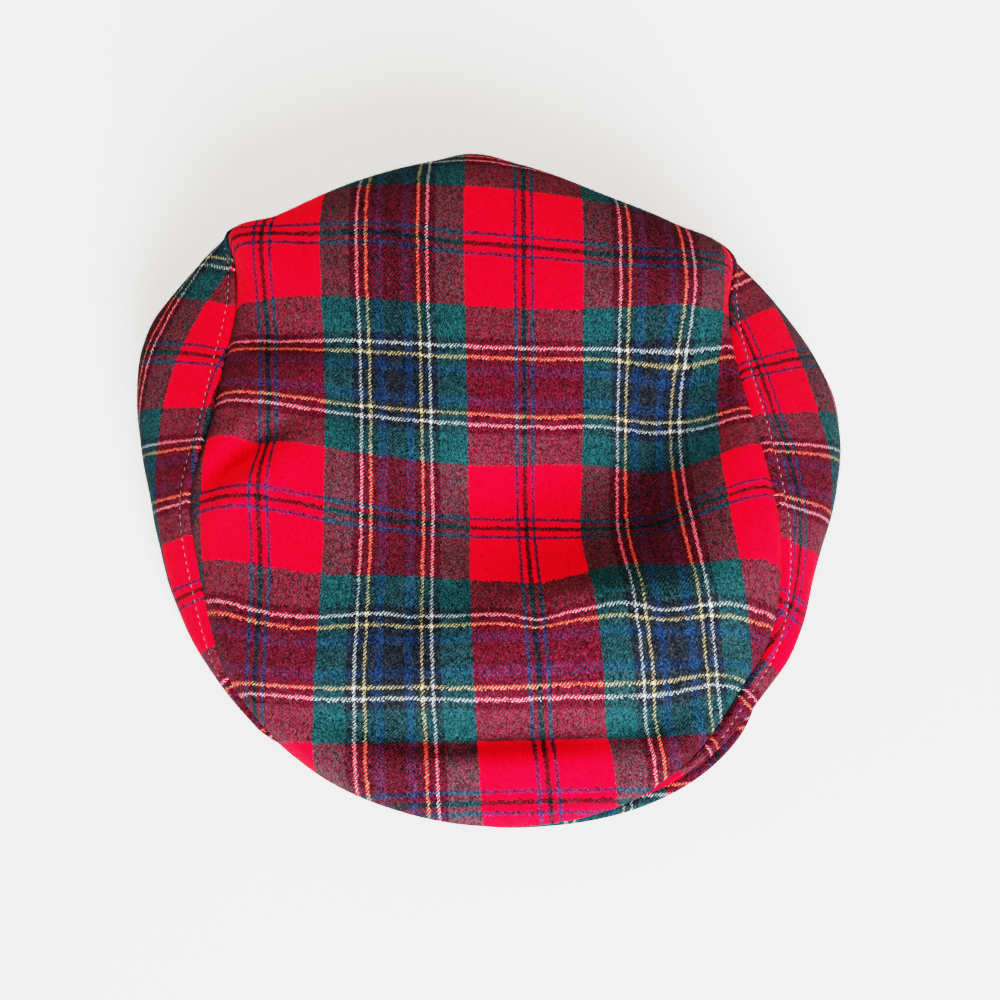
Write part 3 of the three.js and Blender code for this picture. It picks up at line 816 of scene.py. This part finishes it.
def side_piece(name, node, angles, cloth_map, material, rounds=300, steps=110):
    """A side panel: profiles from the seam over the fold to the hem, turned round the axis, closer together
    towards the ends and the seam. The seam's relief, slight waves and the rolled-in ends are added along
    the profile's normal. The inner face is set in by the wall, which thickens at the hem. Returns the
    piece, its grids, the lengths from the seam and the length from seam to fold."""
    turn = np.linspace(0.0, 1.0, rounds)[:, None]
    turn = turn - END_CLOSING * np.sin(2 * np.pi * turn) / (2 * np.pi)
    angle = angles[0] + (angles[1] - angles[0]) * turn
    t = np.linspace(0.0, 1.0, steps)[None, :]
    along = AT_HEM * (SIDE_SPREAD["even"] * t + SIDE_SPREAD["closing"] * t**2)
    radius, height = side_profile(angle, along)
    length = run_length(radius, height)
    steps_to_fold = np.where(along[:, 1:] <= AT_FOLD, np.diff(length, axis=1), 0.0)
    to_fold = np.sum(steps_to_fold, axis=1, keepdims=True)
    tucked = tucked_in(angle)
    radius = radius - TUCK["in"] * tucked
    height = height - TUCK["down"] * tucked
    run_r, run_z = np.gradient(radius, axis=1), np.gradient(height, axis=1)
    size = np.maximum(np.hypot(run_r, run_z), TINY)
    out_r, out_z = -run_z / size, run_r / size
    raised = seam_relief(length, to_fold) * (1 - tucked)
    x, y = in_plan(radius, angle)
    waves = SIDE_WAVES["share"] * unevenness(x + height, y) * smooth_step(*SIDE_WAVES_FROM, length)
    raised = raised + waves * (height > SIDE_WAVES["least_z"])
    from_end = radius * np.radians(np.minimum(angle - angles[0], angles[1] - angle))
    raised = raised - BACK_SEAM["sunk"] * np.exp(-((from_end / BACK_SEAM["round"]) ** 2))
    outer_r, outer_z = radius + raised * out_r, height + raised * out_z
    wall = WALL + (HEM_WALL - WALL) * smooth_step(*HEM_TURN, along)
    inner_r, inner_z = outer_r - wall * out_r, outer_z - wall * out_z
    inner_r[:, -1], inner_z[:, -1] = outer_r[:, -1] - HEM_WALL, outer_z[:, -1]
    floor_z = resting_height(x, y)
    outer = turned(outer_r, np.maximum(outer_z, floor_z), angle)
    inner = turned(inner_r, np.maximum(inner_z, floor_z), angle)
    cloth = cloth_map(angle, length, y)
    quads = grid_quads(rounds, steps)
    count = rounds * steps
    index = np.arange(count).reshape(rounds, steps)
    border = np.concatenate([index[0], index[1:, -1], index[-1, -2::-1], index[-2:0:-1, 0]])
    faces = [quads, quads[:, ::-1] + count, ring_quads(border, border + count)]
    points = np.concatenate([outer.reshape(-1, 3), inner.reshape(-1, 3)])
    maps = np.concatenate([cloth.reshape(-1, 2)] * 2)
    piece = add_piece(name, points, faces, maps, material)
    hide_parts(node)
    normals = surface_normals(outer, wrap=False)
    return piece, (outer, normals, cloth), length, to_fold


def peak_piece(material, rounds=220, steps=56):
    """The peak: rays fan out from its middle, each with a cross-section that runs along the top from the
    hem to the front edge, round the edge in a half circle and back along the bottom. The front edge is a
    superellipse, tapered into the arms, which also thin out by the square of the way to their point."""
    angle = np.linspace(-PEAK["arm_angle"], PEAK["arm_angle"], rounds)[:, None]
    to_x, to_y = np.sin(np.radians(angle)), -np.cos(np.radians(angle))
    corner = np.where(angle < 0, PEAK["corner_right"], PEAK["corner_left"])
    reaches = np.abs(to_x / PEAK["half_width"]) ** corner + np.abs(to_y / PEAK["reach"]) ** corner
    edge = reaches ** (-1 / corner)
    hem = opening_reach(PEAK["middle_x"], PEAK["middle_y"], to_x, to_y) - HEM_WALL
    past = np.maximum(0.0, np.abs(angle) - PEAK["arm_taper"]) / (PEAK["arm_point"] - PEAK["arm_taper"])
    width = (edge - hem) * np.cos(past * np.pi / 2) ** PEAK["arm_round"]
    half = PEAK["thickness"] / 2 * (1 - PEAK["arm_thin"] * past**2)
    flat = np.linspace(0.0, 1.0, steps)
    bend = np.linspace(np.pi / 2, -np.pi / 2, PEAK_EDGE_POINTS + 2)[1:-1]
    share = np.concatenate([flat, np.ones_like(bend), flat[::-1], np.zeros_like(bend)])[None, :]
    bulge = np.concatenate([0 * flat, np.cos(bend), 0 * flat, -np.cos(bend)])[None, :]
    level = np.concatenate([0 * flat + 1, np.sin(bend), 0 * flat - 1, -np.sin(bend)])[None, :]
    trim = np.minimum(half, width / 2)
    reach = hem + trim + share * (width - 2 * trim) + bulge * trim
    x, y = PEAK["middle_x"] + reach * to_x, PEAK["middle_y"] + reach * to_y
    points = np.stack([x, y, peak_top(x, y) - PEAK["thickness"] + half * (1 + level)], axis=-1)
    cloth = peak_cloth_map(x, y)
    index = np.arange(x.size).reshape(x.shape)
    faces = [tube_quads(index), index[:1, ::-1], index[-1:]]
    piece = add_piece("peak_cloth", points.reshape(-1, 3), faces, cloth.reshape(-1, 2), material)
    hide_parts("peak")
    top = slice(0, steps)
    normals = surface_normals(points[:, top], wrap=False)
    return piece, (points[:, top], normals, cloth[:, top])


def stitch_piece(name, grids, length, to_fold, material):
    """A row of stitches on a side panel at a fixed length from the seam. The row is read off the panel's
    grid between the two columns on either side of that length. Each stitch is a short thread, an ellipse
    carried along an arch whose ends dive into the cloth."""
    outer, normals, _ = grids
    row = np.arange(len(outer))
    column = np.clip(np.sum(length < STITCH["inset"], axis=1), 1, outer.shape[1] - 1)
    before, after = length[row, column - 1], length[row, column]
    t = ((STITCH["inset"] - before) / np.maximum(after - before, TINY))[:, None]
    path = outer[row, column - 1] * (1 - t) + outer[row, column] * t
    upward = unit(normals[row, column - 1] * (1 - t) + normals[row, column] * t)
    wide = to_fold[:, 0] > STITCH["least_fold"]
    travelled = np.concatenate([[0.0], np.cumsum(np.linalg.norm(np.diff(path, axis=0), axis=1))])
    places = np.arange(STITCH["pitch"], travelled[-1], STITCH["pitch"])
    k = np.clip(np.searchsorted(travelled, places) - 1, 0, len(path) - 2)
    places, k = places[wide[k]], k[wide[k]]
    s = ((places - travelled[k]) / (travelled[k + 1] - travelled[k]))[:, None]
    middle = path[k] * (1 - s) + path[k + 1] * s
    up = unit(upward[k] * (1 - s) + upward[k + 1] * s)
    ahead = unit(path[k + 1] - path[k])
    aside = np.cross(up, ahead)
    run = np.linspace(-1.0, 1.0, STITCH_RINGS)[:, None]
    turn = np.linspace(0.0, 2 * np.pi, STITCH_SIDES, endpoint=False)[None, :]
    girth = STITCH["thick"] * np.sqrt(np.maximum(STITCH["blunt"], 1 - STITCH["taper"] * run**4))
    a = (run * STITCH["length"] / 2 + 0 * turn).ravel()[None, :, None]
    b = (girth * np.cos(turn) * STITCH["oval"]).ravel()[None, :, None]
    c = (girth * np.sin(turn) + STITCH["arch"] - STITCH["dive"] * run**2).ravel()[None, :, None]
    points = middle[:, None] + a * ahead[:, None] + b * aside[:, None] + c * up[:, None]
    stitches, size = points.shape[:2]
    one = np.arange(size).reshape(STITCH_RINGS, STITCH_SIDES)
    shift = (np.arange(stitches) * size)[:, None]
    tubes = (tube_quads(one)[None] + shift[..., None]).reshape(-1, 4)
    faces = [tubes, one[:1, ::-1] + shift, one[-1:] + shift]
    return add_piece(name, points.reshape(-1, 3), faces, np.zeros((stitches * size, 2)), material)


def nap_piece(name, grids, material, count, seed):
    """Loose wool fibres on a cloth. Places are drawn evenly by area over the cells of the cloth's grid. Each
    fibre is a narrow blade of three levels that leaves along the normal and lies over to one side, with
    the cloth map of its root all over, so that it takes the colour of its yarn."""
    outer, normals, cloth = grids
    random = np.random.default_rng(seed)
    step_a = outer[1:, :-1] - outer[:-1, :-1]
    step_b = outer[:-1, 1:] - outer[:-1, :-1]
    area = np.linalg.norm(np.cross(step_a, step_b), axis=-1) * (outer[1:, 1:, 2] > FIBRE["least_z"])
    cell = np.searchsorted(np.cumsum(area.ravel()), random.random(count) * area.sum())
    i, j = np.unravel_index(np.minimum(cell, area.size - 1), area.shape)
    s, t = random.random((count, 1)), random.random((count, 1))

    def between(grid):
        """Values of a grid at the places drawn: shares s and t of the way between a cell's corners."""
        low = grid[i, j] * (1 - s) + grid[i + 1, j] * s
        high = grid[i, j + 1] * (1 - s) + grid[i + 1, j + 1] * s
        return low * (1 - t) + high * t

    root, up, lie = between(outer), unit(between(normals)), between(cloth)
    heading = random.normal(size=(count, 3))
    aside = unit(heading - up * np.sum(heading * up, axis=1, keepdims=True))
    flat = np.cross(up, aside)
    long = random.normal(FIBRE["length"], FIBRE["spread"], (count, 1))
    long = np.clip(long, FIBRE["shortest"], FIBRE["longest"])
    wide = random.uniform(FIBRE["thinnest"], FIBRE["thickest"], (count, 1))
    swing = FIBRE["swing"] * random.normal(size=(count, 1)) * flat
    base = root - FIBRE["rooted"] * up
    bent = root + long * (FIBRE["bend_up"] * up + FIBRE["bend_over"] * aside)
    tip = root + long * (FIBRE["tip_up"] * up + FIBRE["tip_over"] * aside + swing)
    low, high = wide * flat, FIBRE["narrowed"] * wide * flat
    points = np.stack([base - low, base + low, bent + high, bent - high, tip], axis=1)
    size = points.shape[1]
    first = np.arange(count)[:, None] * size
    blades = [first + [0, 1, 2, 3], first + [3, 2, 4]]
    maps = np.repeat(lie, size, axis=0)
    piece = add_piece(name, points.reshape(-1, 3), blades, maps, material)
    piece.data.normals_split_custom_set_from_vertices(np.repeat(up, size, axis=0).tolist())
    bake = np.mod(maps * BAKE_FIT["scale"] + BAKE_FIT["middle"], 1.0) * BAKE_FIT["room"]
    add_map(piece.data, "OFBake", bake + np.tile(BLADE_CORNERS, (count, 1)))
    return piece


def add_floor():
    """A broad flat floor at the height of the hem."""
    mesh = bpy.data.meshes.new("floor")
    far = FLOOR_HALF_M
    mesh.from_pydata([(-far, -far, 0), (far, -far, 0), (far, far, 0), (-far, far, 0)], [], [(0, 1, 2, 3)])
    mesh.materials.append(floor_material())
    floor = bpy.data.objects.new("floor", mesh)
    bpy.context.collection.objects.link(floor)


def look_from(elevation, azimuth, distance, target):
    """Matrix of something that looks at a target from a direction: its axes are right, up and back."""
    e, a = math.radians(elevation), math.radians(azimuth)
    back = np.array([math.sin(a) * math.cos(e), -math.cos(a) * math.cos(e), math.sin(e)])
    right = unit(np.cross([0.0, 0.0, 1.0], back))
    matrix = np.eye(4)
    matrix[:3, :3] = np.stack([right, np.cross(back, right), back], axis=1)
    matrix[:3, 3] = target + distance * back
    return Matrix(matrix.tolist())


def add_camera():
    """The photograph's view: steeply down on the crown from the front."""
    camera = bpy.data.cameras.new("camera")
    camera.sensor_width = CAMERA["sensor"]
    camera.lens = CAMERA["lens"]
    camera.shift_x = CAMERA["shift_x"]
    camera.shift_y = CAMERA["shift_y"]
    camera.clip_start = CAMERA["nearest"]
    holder = bpy.data.objects.new("camera", camera)
    bpy.context.collection.objects.link(holder)
    holder.matrix_world = look_from(**VIEW, target=(SECTION_AXIS + [0.0, 0.0, VIEW_TARGET_Z]) * METRES)
    bpy.context.scene.camera = holder


def add_light(name, size, power, colour, elevation, azimuth, distance):
    """A square soft light that looks at the cap from a direction."""
    light = bpy.data.lights.new(name, "AREA")
    light.size = size
    light.energy = power
    light.color = colour
    holder = bpy.data.objects.new(name, light)
    bpy.context.collection.objects.link(holder)
    holder.matrix_world = look_from(elevation, azimuth, distance, LIGHT_TARGET_M)


def add_studio():
    """Soft light from all over, a broad cool key from the front and a weak warm fill from the back."""
    scene = bpy.context.scene
    scene.view_settings.view_transform = "Filmic"
    scene.view_settings.look = "Very High Contrast"
    world = bpy.data.worlds.new("studio")
    world.use_nodes = True
    for socket, value in SKY.items():
        world.node_tree.nodes["Background"].inputs[socket].default_value = value
    scene.world = world
    for name, light in LIGHTS.items():
        add_light(name, *light)


add_camera()
add_studio()
add_floor()

WOOL = wool_material()
NAP = nap_material()
THREAD = thread_material()

crown, crown_grids = crown_piece(WOOL)
left, left_grids, left_length, left_room = side_piece(
    "side_cloth_left", "side_panel_left", (-90.0, 90.0), left_cloth_map, WOOL)
right, right_grids, right_length, right_room = side_piece(
    "side_cloth_right", "side_panel_right", (90.0, 270.0), right_cloth_map, WOOL)
peak, peak_grids = peak_piece(WOOL)

left_stitches = stitch_piece("seam_stitches_left", left_grids, left_length, left_room, THREAD)
right_stitches = stitch_piece("seam_stitches_right", right_grids, right_length, right_room, THREAD)

crown_nap = nap_piece("crown_nap", crown_grids, NAP, count=40000, seed=11)
left_nap = nap_piece("side_nap_left", left_grids, NAP, count=16000, seed=12)
right_nap = nap_piece("side_nap_right", right_grids, NAP, count=16000, seed=13)
peak_nap = nap_piece("peak_nap", peak_grids, NAP, count=8000, seed=14)
